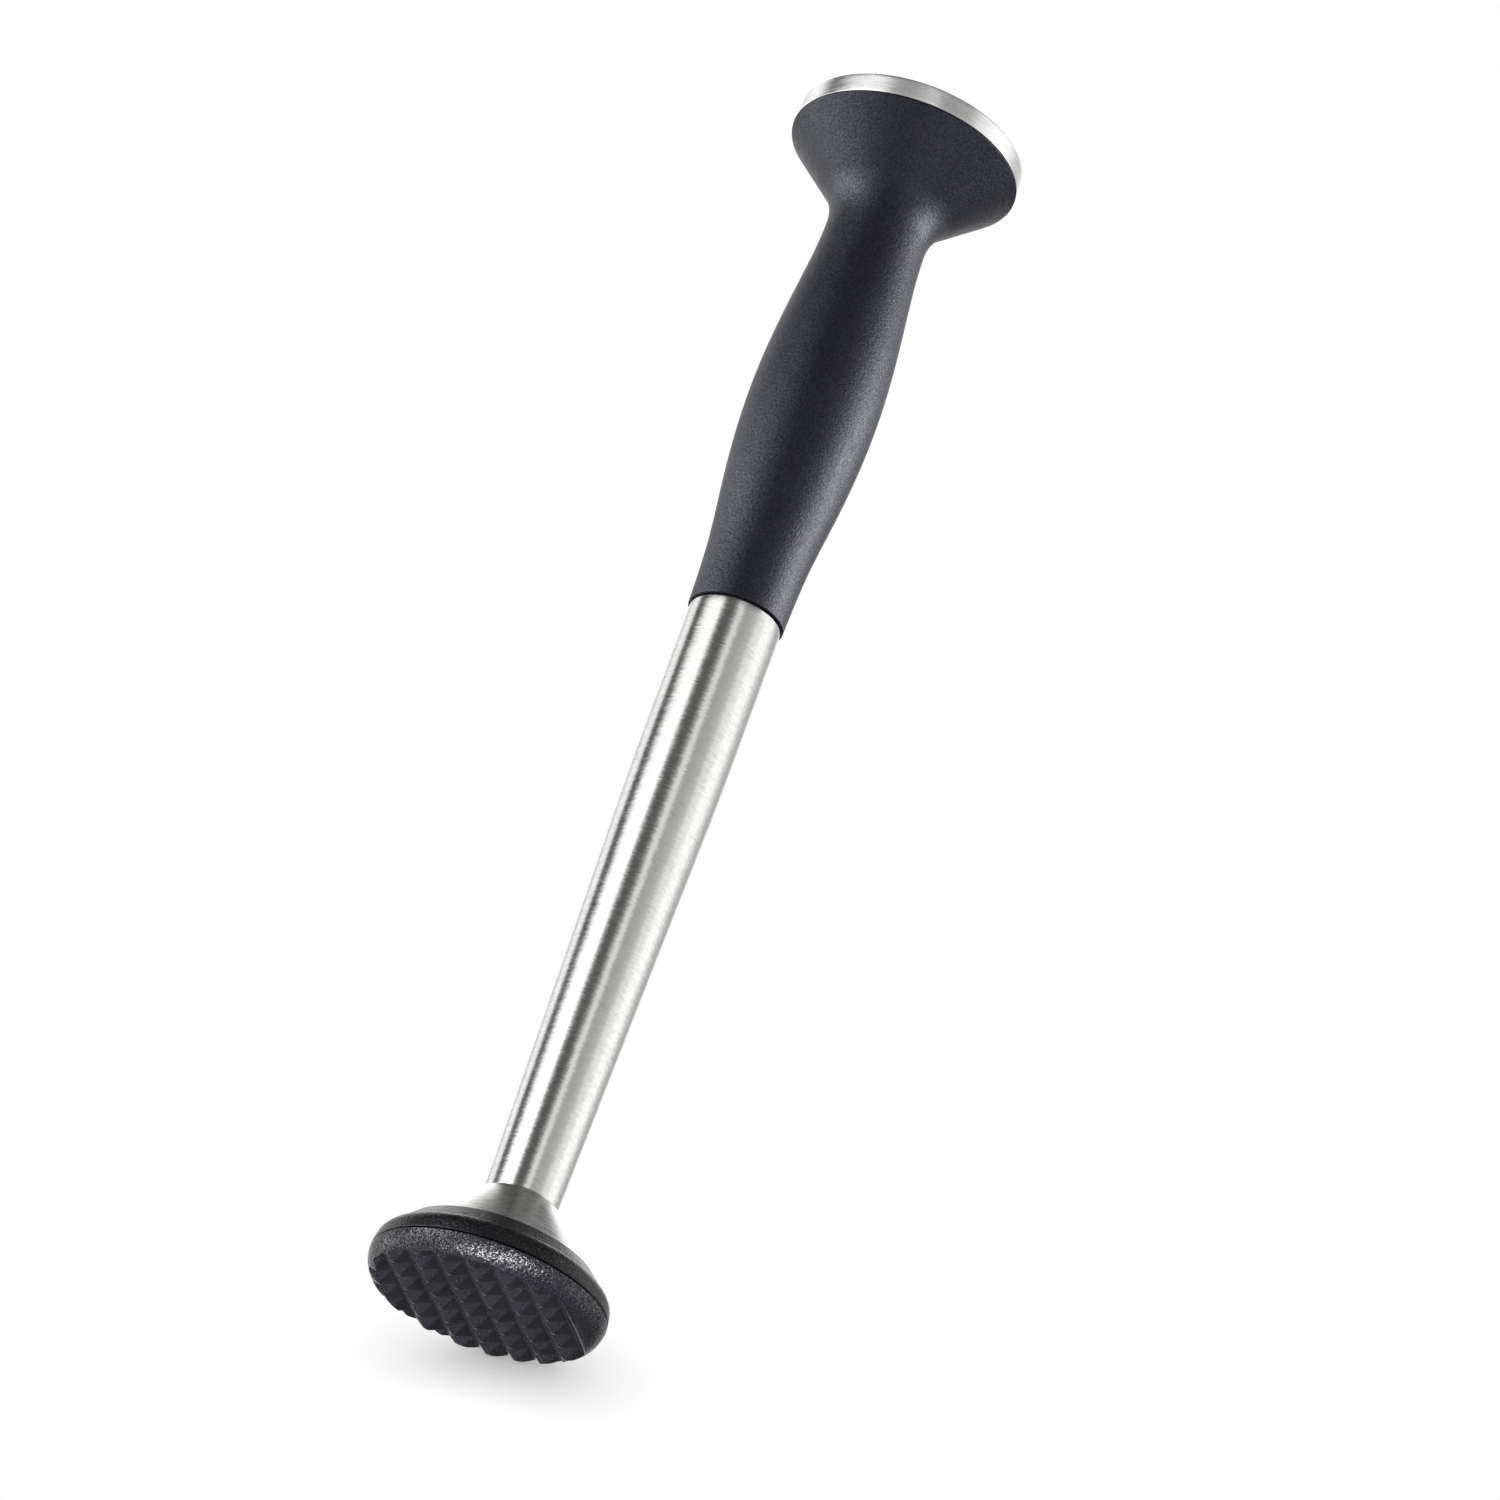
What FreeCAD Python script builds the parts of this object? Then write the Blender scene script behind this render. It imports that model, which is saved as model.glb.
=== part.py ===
import FreeCAD, Part
import os
from math import cos, sin, tan, sqrt, radians, pi

# Bar muddler: a toothed nylon head, a flared steel cone, a tapered steel tube and a
# rubber-covered handle with a flat steel end cap.  All sizes are in millimetres.
# +Z runs from the teeth to the cap, and the origin is the centre of the tooth-tip plane.

V = FreeCAD.Vector

# ---- fits ----
FIT = 0.05              # gap between pieces that slide together on assembly
THREAD_FIT = 0.05       # radial gap between a screw and its threaded hole

# ---- stations along the axis ----
PARTING_Z = 4.2         # joint between toothed pad and collar, the widest level of the head
COLLAR_TOP_Z = 10.4
TUBE_START_Z = 19.7
TUBE_END_Z = 130.6
SHOULDER_Z = 130.65
GRIP_START_Z = 130.85
GRIP_END_Z = 225.15
CAP_START_Z = 225.4
CAP_TOP_Z = 229.2

# ---- toothed pad ----
HEAD_R = 19.85
EDGE_WIDTH = 3.6        # radial half-axis of the elliptical lower edge
TOOTH_PITCH = 4.8
TOOTH_DEPTH = 1.75
TOOTH_TIP = 0.5         # width of the small flat on each tooth
GROOVES_EACH_SIDE = 3   # grooves on each side of the central one
FIELD_R_BELOW = 20.4    # the grooves run out on a cone: its radius 1 mm under the face
FIELD_R_ROOT = 18.2     # and its radius at the full depth of the grooves
FIELD_CENTRE = (-0.45, 0.9)     # the toothed field sits a little off the axis
CUTTER_BELOW = 1.0      # the cutters reach this far under the face
EDGE_BREAK = 0.15       # softened corners at the parting line
RIM_SHRINK = 0.01       # how far inside the head radius the edge curve ends
RIM_LEAN = 0.02         # and its remaining lean there, run over rise
PAD_POCKET_R = 6.4
PAD_POCKET_Z = 3.1
TONGUE_R_IN = 14.6
TONGUE_R_OUT = 16.0
TONGUE_TOP_Z = 6.4
TONGUE_BEAD = 0.25      # snap bead on the tongue, and how far below its top it sits
BEAD_DROP = 0.7

# ---- collar ----
COLLAR_SIDE = (19.6, 5.9)       # top of the drafted side, then a round into a 45 degree top
COLLAR_ROUND = (19.15, 6.95)
COLLAR_SLOPE = (18.25, 7.75)
COLLAR_LIP = (15.85, 10.15)
COLLAR_LIP_ROUND = (15.67, 10.32)
COLLAR_LIP_TOP_R = 15.42
LIP_INNER_R = 15.05
GASKET_SEAT_Z = 9.3
GASKET_THICK = 0.5
GASKET_R_IN = 13.4
BOSS_SHOULDER = 0.8     # height of the step between gasket seat and boss, and its run
BOSS_RUN = 0.6
BOSS_R = 12.2
BOSS_TOP_R = 7.7
BOSS_TOP_Z = 14.9
HEAD_BORE_R = 2.75
HEAD_WELL_R = 5.8
HEAD_WELL_TOP_Z = 8.7

# ---- flared cone ----
SHEET = 0.8             # thickness of the cone
CONE_FOOT_R = 15.0
CONE_NECK_R = 6.5
CONE_KNEE_RISE = 0.05   # height of the bend above the collar's top
NECK_DROP = 0.35        # how far the inside of the neck lies below the outside
SPIGOT_TOP_Z = 25.0

# ---- tube ----
TUBE_WALL = 0.9
TUBE_R_LOW = 6.2
TUBE_R_MID = 7.5
TUBE_MID_Z = 80.0
TUBE_R_HIGH = 7.95
TUBE_BELL_Z = 108.0

# ---- plugs inside the tube ----
LOWER_PLUG_BASE_Z = 19.0
LOWER_PLUG_TOP_Z = 35.0
LOWER_PLUG_DRILL_Z = 32.0
UPPER_PLUG_BASE_Z = 108.5
UPPER_PLUG_TOP_Z = 118.5
PLUG_CHAMFER = 0.5
DRILL_POINT = 1.4       # length of the cone at the end of the blind thread

# ---- screws and washers ----
SCREW_R = 2.45
SCREW_HEAD_R = 4.4
SCREW_HEAD_H = 2.9
SOCKET_FLATS = 3.0      # across the flats of the hexagon socket
SOCKET_DEPTH = 1.8
SCREW_HEAD_EDGE = (0.5, 0.9)    # run and height of the chamfer on a screw head
SCREW_TIP = 0.6         # chamfer at the end of each screw
WASHER_R = 5.4
WASHER_T = 0.9
HEAD_SCREW_LENGTH = 22.0
HANDLE_SCREW_LENGTH = 40.0
SCREW_PASS = 0.3        # radial gap where a screw passes through without gripping

# ---- handle core ----
SHOULDER_R = 7.6        # ring that shows as the dark line between tube and rubber
WELL_R = 5.7
WELL_FLOOR_Z = 146.0
CORE_DISC_R = 18.9
CORE_DISC_Z = 224.6
CORE_TOP_Z = 228.1
CORE_SWELL_R = 8.35
CORE_SWELL_Z = 153.0
CORE_TAPER_R = 8.15
CORE_TAPER_Z = 194.0
RUBBER_LOW = 1.4        # thickness of the rubber at the tube end, bulge and waist
RUBBER_BULGE = 2.0
RUBBER_WAIST = 1.75

# ---- O-ring on the handle spigot ----
ORING_Z = 125.0
ORING_SECTION_R = 0.75
ORING_GROOVE_HALF = 1.0

# ---- rubber grip outline, radius by height ----
GRIP_LOW_R = 8.3
GRIP_BULGE_R = 11.2
GRIP_BULGE_Z = 174.5
GRIP_WAIST_R = 8.85
GRIP_WAIST_Z = 208.8
GRIP_SHAPE = ((8.85, 143.5), (10.02, 154.2), (10.93, 164.5), (GRIP_BULGE_R, GRIP_BULGE_Z),
              (10.75, 185.0), (9.68, 196.4), (GRIP_WAIST_R, GRIP_WAIST_Z))
GRIP_FILLET_R = 10.6    # concave sweep from the waist into the flare
GRIP_FLARE_DEG = 43.6   # slope of the flare, from the axis
GRIP_EDGE = 0.3         # softened lower corner
GRIP_LIP = 0.2          # height of the rounded rim under the cap, and how far it bulges
GRIP_LIP_BULGE = 0.16
GRIP_FOOT_LEAN = 0.03   # outward lean of the grip at its foot, run over rise

# ---- end cap ----
CAP_R = 20.1
CAP_WALL = 0.7
CAP_EDGE = 0.55
CAP_BURR = 0.1          # broken lower edge
PAD_R = 18.0
PAD_T = 0.4


# ------------------------------------------------------------------ helpers
def point(r, z):
    return V(r, 0, z)


def line(a, b):
    return Part.makeLine(point(*a), point(*b))


def arc(a, middle, b):
    return Part.Arc(point(*a), point(*middle), point(*b)).toShape()


def curve(points, start=None, end=None):
    """Smooth curve through (radius, height) points, with optional end directions."""
    spline = Part.BSplineCurve()
    places = [point(*p) for p in points]
    if start:
        spline.interpolate(places, InitialTangent=point(*start), FinalTangent=point(*end))
    else:
        spline.interpolate(places)
    return spline.toShape()


def spin(edges):
    """Solid of revolution about Z from a closed outline in the XZ plane."""
    face = Part.Face(Part.Wire(Part.__sortEdges__(edges)))
    return face.revolve(V(0, 0, 0), V(0, 0, 1), 360)


def polygon(points):
    """Edges of a closed straight-sided outline."""
    return [line(points[i], points[(i + 1) % len(points)]) for i in range(len(points))]


def polyline(points):
    """Edges of an open straight-sided outline."""
    return [line(a, b) for a, b in zip(points, points[1:])]


def turned(points):
    return spin(polygon(points))


def save(name, shape):
    if not shape.isValid():
        shape.fix(0.01, 0.01, 0.01)
    print(name, "valid", shape.isValid(), "solids", len(shape.Solids), "mm3", round(shape.Volume, 1))
    shape.exportStep("parts/" + name + ".step")


def tube_radius(z):
    """Outer radius of the tube: a straight taper that eases into a cylinder at the top."""
    if z <= TUBE_MID_Z:
        share = (z - TUBE_START_Z) / (TUBE_MID_Z - TUBE_START_Z)
        return TUBE_R_LOW + (TUBE_R_MID - TUBE_R_LOW) * share
    share = min(1.0, (z - TUBE_MID_Z) / (TUBE_BELL_Z - TUBE_MID_Z))
    return TUBE_R_MID + (TUBE_R_HIGH - TUBE_R_MID) * sin(share * pi / 2)


def tube_bore(z):
    return tube_radius(z) - TUBE_WALL


# ------------------------------------------------------------------ head
def tooth_grooves():
    """Two crossed sets of V grooves that leave four-sided teeth.

    The long grooves run along y.  The cross grooves start in the last long groove on the
    +x side, which leaves a plain margin outside it."""
    half = (TOOTH_PITCH - TOOTH_TIP) / 2
    slope = TOOTH_DEPTH / half
    wide = half + CUTTER_BELOW / slope
    last = GROOVES_EACH_SIDE * TOOTH_PITCH
    tools = []
    for count in range(-GROOVES_EACH_SIDE, GROOVES_EACH_SIDE + 1):
        x = count * TOOTH_PITCH
        for start, turn in ((-HEAD_R, 0), (-last, 90)):
            corners = [V(x - wide, start, -CUTTER_BELOW), V(x + wide, start, -CUTTER_BELOW),
                       V(x, start, TOOTH_DEPTH)]
            prism = Part.Face(Part.makePolygon(corners + corners[:1])).extrude(V(0, HEAD_R - start, 0))
            prism.rotate(V(0, 0, 0), V(0, 0, 1), turn)
            tools.append(prism)
    depth = TOOTH_DEPTH + CUTTER_BELOW
    foot = V(FIELD_CENTRE[0], FIELD_CENTRE[1], -CUTTER_BELOW)
    field = Part.makeCone(FIELD_R_BELOW, FIELD_R_ROOT, depth, foot)
    return tools, field


def toothed_pad():
    flat_r = HEAD_R - EDGE_WIDTH
    rim_z = PARTING_Z - EDGE_BREAK
    rim_r = HEAD_R - RIM_SHRINK
    bead_z = TONGUE_TOP_Z - BEAD_DROP
    edges = [
        line((0, 0), (flat_r, 0)),
        curve([(flat_r, 0)] + [(flat_r + EDGE_WIDTH * sin(radians(a)),
                                PARTING_Z * (1 - cos(radians(a)))) for a in (15, 30, 45, 60, 75)]
              + [(rim_r, rim_z)], start=(1, 0), end=(RIM_LEAN, 1)),
        line((rim_r, rim_z), (HEAD_R - EDGE_BREAK, PARTING_Z)),
        line((HEAD_R - EDGE_BREAK, PARTING_Z), (TONGUE_R_OUT, PARTING_Z)),
        line((TONGUE_R_OUT, PARTING_Z), (TONGUE_R_OUT, bead_z - TONGUE_BEAD)),
        line((TONGUE_R_OUT, bead_z - TONGUE_BEAD), (TONGUE_R_OUT + TONGUE_BEAD, bead_z)),
        line((TONGUE_R_OUT + TONGUE_BEAD, bead_z), (TONGUE_R_OUT, TONGUE_TOP_Z)),
        line((TONGUE_R_OUT, TONGUE_TOP_Z), (TONGUE_R_IN, TONGUE_TOP_Z)),
        line((TONGUE_R_IN, TONGUE_TOP_Z), (TONGUE_R_IN, PARTING_Z)),
        line((TONGUE_R_IN, PARTING_Z), (PAD_POCKET_R, PARTING_Z)),
        line((PAD_POCKET_R, PARTING_Z), (PAD_POCKET_R, PAD_POCKET_Z)),
        line((PAD_POCKET_R, PAD_POCKET_Z), (0, PAD_POCKET_Z)),
        line((0, PAD_POCKET_Z), (0, 0)),
    ]
    pad = spin(edges)
    tools, field = tooth_grooves()
    cutter = tools[0].fuse(tools[1:]).common(field)
    return pad.cut(cutter)


def head_collar():
    low = PARTING_Z + FIT
    bead_z = TONGUE_TOP_Z - BEAD_DROP
    outer = TONGUE_R_OUT + FIT
    inner = TONGUE_R_IN - FIT
    top = TONGUE_TOP_Z + FIT
    boss_z = GASKET_SEAT_Z + BOSS_SHOULDER
    rim_r = HEAD_R - FIT
    lip_top = (COLLAR_LIP_TOP_R, COLLAR_TOP_Z)
    outside = polyline([(outer, low), (rim_r - EDGE_BREAK, low), (rim_r, low + EDGE_BREAK), COLLAR_SIDE])
    outside += [arc(COLLAR_SIDE, COLLAR_ROUND, COLLAR_SLOPE), line(COLLAR_SLOPE, COLLAR_LIP),
                arc(COLLAR_LIP, COLLAR_LIP_ROUND, lip_top)]
    inside = polyline([lip_top, (LIP_INNER_R, COLLAR_TOP_Z), (LIP_INNER_R, GASKET_SEAT_Z),
                       (BOSS_R + BOSS_RUN, GASKET_SEAT_Z), (BOSS_R, boss_z), (BOSS_TOP_R, BOSS_TOP_Z),
                       (HEAD_BORE_R, BOSS_TOP_Z), (HEAD_BORE_R, HEAD_WELL_TOP_Z),
                       (HEAD_WELL_R, HEAD_WELL_TOP_Z), (HEAD_WELL_R, low), (inner, low),
                       (inner, top), (outer, top), (outer + TONGUE_BEAD, bead_z),
                       (outer, bead_z - TONGUE_BEAD), (outer, low)])
    return spin(outside + inside)


def cone_gasket():
    low = GASKET_SEAT_Z
    high = GASKET_SEAT_Z + GASKET_THICK
    outer = LIP_INNER_R - FIT
    return turned([(GASKET_R_IN, low), (outer, low), (outer, high), (GASKET_R_IN, high)])


def flare_cone():
    """Pressed steel cone with a rolled foot and a spigot that enters the tube."""
    foot = GASKET_SEAT_Z + GASKET_THICK
    knee_z = COLLAR_TOP_Z + CONE_KNEE_RISE
    spigot_r = tube_bore(TUBE_START_Z) - FIT
    neck = TUBE_START_Z
    slant = SHEET * sqrt(2)
    outline = [(CONE_FOOT_R, foot), (CONE_FOOT_R, knee_z), (CONE_NECK_R, neck), (spigot_r, neck),
               (spigot_r, SPIGOT_TOP_Z), (spigot_r - SHEET, SPIGOT_TOP_Z),
               (spigot_r - SHEET, neck - NECK_DROP), (CONE_FOOT_R - slant, knee_z),
               (CONE_FOOT_R - slant, foot)]
    return turned(outline)


# ------------------------------------------------------------------ shaft
def tube_side(offset):
    """Tube surface moved inward by offset: straight taper, eased curve and short cylinder."""
    taper = (tube_radius(TUBE_START_Z) - offset, TUBE_START_Z)
    middle = (tube_radius(TUBE_MID_Z) - offset, TUBE_MID_Z)
    level = (TUBE_R_HIGH - offset, TUBE_BELL_Z)
    end = (TUBE_R_HIGH - offset, TUBE_END_Z)
    steps = [TUBE_MID_Z + share * (TUBE_BELL_Z - TUBE_MID_Z) for share in (0.25, 0.5, 0.75)]
    eased = [middle] + [(tube_radius(z) - offset, z) for z in steps] + [level]
    return [line(taper, middle), curve(eased), line(level, end)], taper, end


def shaft_tube():
    outside, low_out, high_out = tube_side(0)
    inside, low_in, high_in = tube_side(TUBE_WALL)
    return spin(outside + inside + [line(low_out, low_in), line(high_out, high_in)])


def lower_plug():
    neck_r = tube_bore(TUBE_START_Z) - FIT - SHEET - FIT
    step = SPIGOT_TOP_Z + FIT
    body_low = tube_bore(step) - FIT
    body_high = tube_bore(LOWER_PLUG_TOP_Z) - FIT
    hole = SCREW_R + THREAD_FIT
    return turned([(hole, LOWER_PLUG_BASE_Z), (neck_r, LOWER_PLUG_BASE_Z), (neck_r, step),
                   (body_low, step), (body_high, LOWER_PLUG_TOP_Z - PLUG_CHAMFER),
                   (body_high - PLUG_CHAMFER, LOWER_PLUG_TOP_Z), (0, LOWER_PLUG_TOP_Z),
                   (0, LOWER_PLUG_DRILL_Z), (hole, LOWER_PLUG_DRILL_Z - DRILL_POINT)])


def upper_plug():
    hole = SCREW_R + THREAD_FIT
    outer = TUBE_R_HIGH - TUBE_WALL - FIT
    low = UPPER_PLUG_BASE_Z
    high = UPPER_PLUG_TOP_Z
    return turned([(hole, low), (outer - PLUG_CHAMFER, low), (outer, low + PLUG_CHAMFER),
                   (outer, high - PLUG_CHAMFER), (outer - PLUG_CHAMFER, high), (hole, high)])


# ------------------------------------------------------------------ fasteners
def screw(length):
    """Socket screw standing on its head, with the head below z = 0 and the shank above."""
    tip = SCREW_R - SCREW_TIP
    run, rise = SCREW_HEAD_EDGE
    body = turned([(0, -SCREW_HEAD_H), (SCREW_HEAD_R - run, -SCREW_HEAD_H),
                   (SCREW_HEAD_R, -SCREW_HEAD_H + rise), (SCREW_HEAD_R, 0), (SCREW_R, 0),
                   (SCREW_R, length - SCREW_TIP), (tip, length), (0, length)])
    corner = SOCKET_FLATS / sqrt(3)
    ring = [V(corner * cos(radians(60 * i)), corner * sin(radians(60 * i)), -SCREW_HEAD_H)
            for i in range(6)]
    socket = Part.Face(Part.makePolygon(ring + ring[:1])).extrude(V(0, 0, SOCKET_DEPTH))
    return body.cut(socket)


def washer():
    bore = SCREW_R + SCREW_PASS
    return turned([(bore, 0), (WASHER_R, 0), (WASHER_R, WASHER_T), (bore, WASHER_T)])


def placed(shape, z, flipped=False):
    if flipped:
        shape.rotate(V(0, 0, 0), V(1, 0, 0), 180)
    shape.translate(V(0, 0, z))
    return shape


# ------------------------------------------------------------------ handle
def core_side(gap):
    """Surface shared by core and rubber, moved inward by gap, as edges from low to high."""
    bend = radians(GRIP_FLARE_DEG)
    low = (GRIP_LOW_R - RUBBER_LOW - gap, GRIP_START_Z)
    swell = (CORE_SWELL_R - gap, CORE_SWELL_Z)
    bulge = (GRIP_BULGE_R - RUBBER_BULGE - gap, GRIP_BULGE_Z)
    taper = (CORE_TAPER_R - gap, CORE_TAPER_Z)
    waist = (GRIP_WAIST_R - RUBBER_WAIST - gap, GRIP_WAIST_Z)
    sweep = GRIP_FILLET_R + RUBBER_WAIST
    middle = (waist[0] + sweep * (1 - cos(bend / 2)), GRIP_WAIST_Z + sweep * sin(bend / 2))
    finish = (waist[0] + sweep * (1 - cos(bend)), GRIP_WAIST_Z + sweep * sin(bend))
    top_z = CORE_DISC_Z + gap
    top = (finish[0] + (top_z - finish[1]) * tan(bend), top_z)
    edges = [curve([low, swell, bulge, taper, waist], start=(GRIP_FOOT_LEAN, 1), end=(0, 1)),
             arc(waist, middle, finish), line(finish, top)]
    return edges, low, top


def handle_core():
    """Rigid moulding: spigot in the tube, body under the rubber and disc under the cap."""
    spigot_r = TUBE_R_HIGH - TUBE_WALL - FIT
    spigot_z = UPPER_PLUG_TOP_Z + FIT
    side, start, top = core_side(FIT)
    bore = SCREW_R + SCREW_PASS
    edges = side + polyline([top, (CORE_DISC_R, top[1]), (CORE_DISC_R, CORE_TOP_Z),
                             (WELL_R, CORE_TOP_Z), (WELL_R, WELL_FLOOR_Z), (bore, WELL_FLOOR_Z),
                             (bore, spigot_z), (spigot_r, spigot_z), (spigot_r, SHOULDER_Z),
                             (SHOULDER_R, SHOULDER_Z), (SHOULDER_R, GRIP_START_Z), start])
    low = ORING_Z - ORING_GROOVE_HALF
    high = ORING_Z + ORING_GROOVE_HALF
    floor_r = tube_bore(ORING_Z) - 2 * ORING_SECTION_R - FIT
    groove = turned([(floor_r, low), (HEAD_R, low), (HEAD_R, high), (floor_r, high)])
    return spin(edges).cut(groove)


def handle_oring():
    ring_r = tube_bore(ORING_Z) - ORING_SECTION_R - FIT / 2
    return Part.makeTorus(ring_r, ORING_SECTION_R, V(0, 0, ORING_Z), V(0, 0, 1))


def grip_sleeve():
    """Rubber cover moulded over the core, from the tube end to the cap."""
    bend = radians(GRIP_FLARE_DEG)
    side, start, top = core_side(0)
    foot_z = GRIP_START_Z + FIT
    half = (GRIP_WAIST_R + GRIP_FILLET_R * (1 - cos(bend / 2)),
            GRIP_WAIST_Z + GRIP_FILLET_R * sin(bend / 2))
    finish = (GRIP_WAIST_R + GRIP_FILLET_R * (1 - cos(bend)),
              GRIP_WAIST_Z + GRIP_FILLET_R * sin(bend))
    edge_z = GRIP_END_Z - GRIP_LIP
    edge_r = finish[0] + (edge_z - finish[1]) * tan(bend)
    lip_r = edge_r + GRIP_LIP_BULGE
    outline = [(GRIP_LOW_R, foot_z + GRIP_EDGE)] + list(GRIP_SHAPE)
    inner_lip = CORE_DISC_R + FIT
    edges = [
        line((GRIP_LOW_R - GRIP_EDGE, foot_z), (GRIP_LOW_R, foot_z + GRIP_EDGE)),
        curve(outline, start=(GRIP_FOOT_LEAN, 1), end=(0, 1)),
        arc((GRIP_WAIST_R, GRIP_WAIST_Z), half, finish),
        line(finish, (edge_r, edge_z)),
        arc((edge_r, edge_z), (lip_r, GRIP_END_Z - GRIP_LIP / 2), (edge_r, GRIP_END_Z)),
    ]
    body = spin(edges + polyline([(edge_r, GRIP_END_Z), (inner_lip, GRIP_END_Z),
                                  (inner_lip, CORE_DISC_Z), (0, CORE_DISC_Z), (0, foot_z),
                                  (GRIP_LOW_R - GRIP_EDGE, foot_z)]))
    hollow = spin(side + polyline([top, (0, CORE_DISC_Z), (0, GRIP_START_Z), start]))
    return body.cut(hollow)


# ------------------------------------------------------------------ cap
def cap_bond_pad():
    low = CORE_TOP_Z
    return turned([(0, low), (PAD_R, low), (PAD_R, low + PAD_T), (0, low + PAD_T)])


def steel_cap():
    """Drawn cup, open downward, with a rounded outer edge."""
    low = CAP_START_Z
    bend = CAP_EDGE * (1 - cos(radians(45)))
    inner = CAP_R - CAP_WALL
    ceiling = CAP_TOP_Z - CAP_WALL
    edges = [
        line((0, CAP_TOP_Z), (CAP_R - CAP_EDGE, CAP_TOP_Z)),
        arc((CAP_R - CAP_EDGE, CAP_TOP_Z), (CAP_R - bend, CAP_TOP_Z - bend),
            (CAP_R, CAP_TOP_Z - CAP_EDGE)),
        line((CAP_R, CAP_TOP_Z - CAP_EDGE), (CAP_R, low + CAP_BURR)),
        line((CAP_R, low + CAP_BURR), (CAP_R - CAP_BURR, low)),
        line((CAP_R - CAP_BURR, low), (inner, low)),
        line((inner, low), (inner, ceiling)),
        line((inner, ceiling), (0, ceiling)),
        line((0, ceiling), (0, CAP_TOP_Z)),
    ]
    return spin(edges)


# ------------------------------------------------------------------ build
os.makedirs("parts", exist_ok=True)
save("toothed_pad", toothed_pad())
save("head_collar", head_collar())
save("cone_gasket", cone_gasket())
save("head_washer", placed(washer(), HEAD_WELL_TOP_Z - WASHER_T))
save("head_screw", placed(screw(HEAD_SCREW_LENGTH), HEAD_WELL_TOP_Z - WASHER_T))
save("flare_cone", flare_cone())
save("lower_plug", lower_plug())
save("shaft_tube", shaft_tube())
save("upper_plug", upper_plug())
save("handle_core", handle_core())
save("handle_oring", handle_oring())
save("handle_washer", placed(washer(), WELL_FLOOR_Z))
save("handle_screw", placed(screw(HANDLE_SCREW_LENGTH), WELL_FLOOR_Z + WASHER_T, flipped=True))
save("grip_sleeve", grip_sleeve())
save("cap_bond_pad", cap_bond_pad())
save("steel_cap", steel_cap())
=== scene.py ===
import bpy
import math
import numpy as np
from mathutils import Matrix, Vector


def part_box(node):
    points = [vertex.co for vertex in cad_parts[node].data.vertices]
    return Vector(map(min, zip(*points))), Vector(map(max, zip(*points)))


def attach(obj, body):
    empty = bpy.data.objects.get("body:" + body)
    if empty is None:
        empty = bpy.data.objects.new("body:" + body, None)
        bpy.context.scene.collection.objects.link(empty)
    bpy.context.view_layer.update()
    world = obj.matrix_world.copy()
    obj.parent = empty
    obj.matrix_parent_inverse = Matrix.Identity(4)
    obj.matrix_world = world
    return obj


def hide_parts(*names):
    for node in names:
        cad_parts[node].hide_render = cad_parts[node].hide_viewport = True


# Bar muddler: high-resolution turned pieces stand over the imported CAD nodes, with node
# materials, a studio world and a camera that looks up at the toothed head.

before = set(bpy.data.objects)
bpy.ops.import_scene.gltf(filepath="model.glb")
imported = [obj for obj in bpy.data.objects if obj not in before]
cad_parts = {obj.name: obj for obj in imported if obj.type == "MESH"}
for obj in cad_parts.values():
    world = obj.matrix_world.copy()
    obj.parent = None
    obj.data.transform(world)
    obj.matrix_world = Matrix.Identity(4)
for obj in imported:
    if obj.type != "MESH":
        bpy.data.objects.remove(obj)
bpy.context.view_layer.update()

MM = 0.001


# ------------------------------------------------------------------ sizes from the frame
def lowest(node):
    """Lowest height of a CAD node, in millimetres."""
    return round(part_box(node)[0].z / MM, 2)


def highest(node):
    return round(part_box(node)[1].z / MM, 2)


def radius_of(node):
    """Outer radius of a round CAD node, in millimetres."""
    return round(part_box(node)[1].x / MM, 2)


# ---- stations along the axis, in millimetres ----
FIT = 0.05              # gap between pieces that slide together
PARTING_Z = lowest("head_collar") - FIT
TONGUE_TOP_Z = highest("toothed_pad")
GASKET_SEAT_Z = lowest("cone_gasket")
CONE_FOOT_Z = lowest("flare_cone")
COLLAR_TOP_Z = CONE_FOOT_Z + 0.6        # the collar's lip stands up round the cone's foot
BOSS_TOP_Z = highest("head_collar")
TUBE_START_Z = lowest("shaft_tube")
SPIGOT_TOP_Z = highest("flare_cone")
TUBE_END_Z = highest("shaft_tube")
GRIP_START_Z = lowest("grip_sleeve")
CAP_START_Z = lowest("steel_cap")
GRIP_END_Z = CAP_START_Z - 0.25         # a fine shadow gap under the cap
CAP_TOP_Z = highest("steel_cap")

# ---- toothed pad ----
HEAD_R = radius_of("toothed_pad") + 0.01        # the edge curve stops just short of it
EDGE_WIDTH = 3.6        # radial half-axis of the elliptical lower edge
EDGE_LAST_DEG = 87.0    # where that curve ends, short of upright
TOOTH_PITCH = 4.8
TOOTH_DEPTH = 1.75
TOOTH_TIP = 0.5         # width of the small flat on each tooth
GROOVES_EACH_SIDE = 3   # grooves on each side of the central one
FIELD_R_BELOW = 20.4    # the grooves run out on a cone: its radius 1 mm under the face
FIELD_R_ROOT = 18.2     # and its radius at the full depth of the grooves
FIELD_CENTRE = (-0.45, 0.9)     # the toothed field sits a little off the axis
RIDGE_ROUND = 0.09      # softening of every ridge and groove
MESH_STEP = 0.1         # radial spacing of the mesh over the teeth
MESH_FINE_R = 19.5      # the fine mesh ends inside this radius
PAD_LIP = ((0.02, 0.18), (0.08, 0.10), (0.25, 0.03), (0.60, 0.0))   # in and down from the corner
TONGUE_R_OUT = 16.0
TONGUE_R_IN = 14.6
TONGUE_BEAD = 0.25      # snap bead on the tongue
BEAD_Z = TONGUE_TOP_Z - 0.7     # its height
PAD_POCKET_R = 6.4
PAD_POCKET_Z = 3.1

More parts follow.
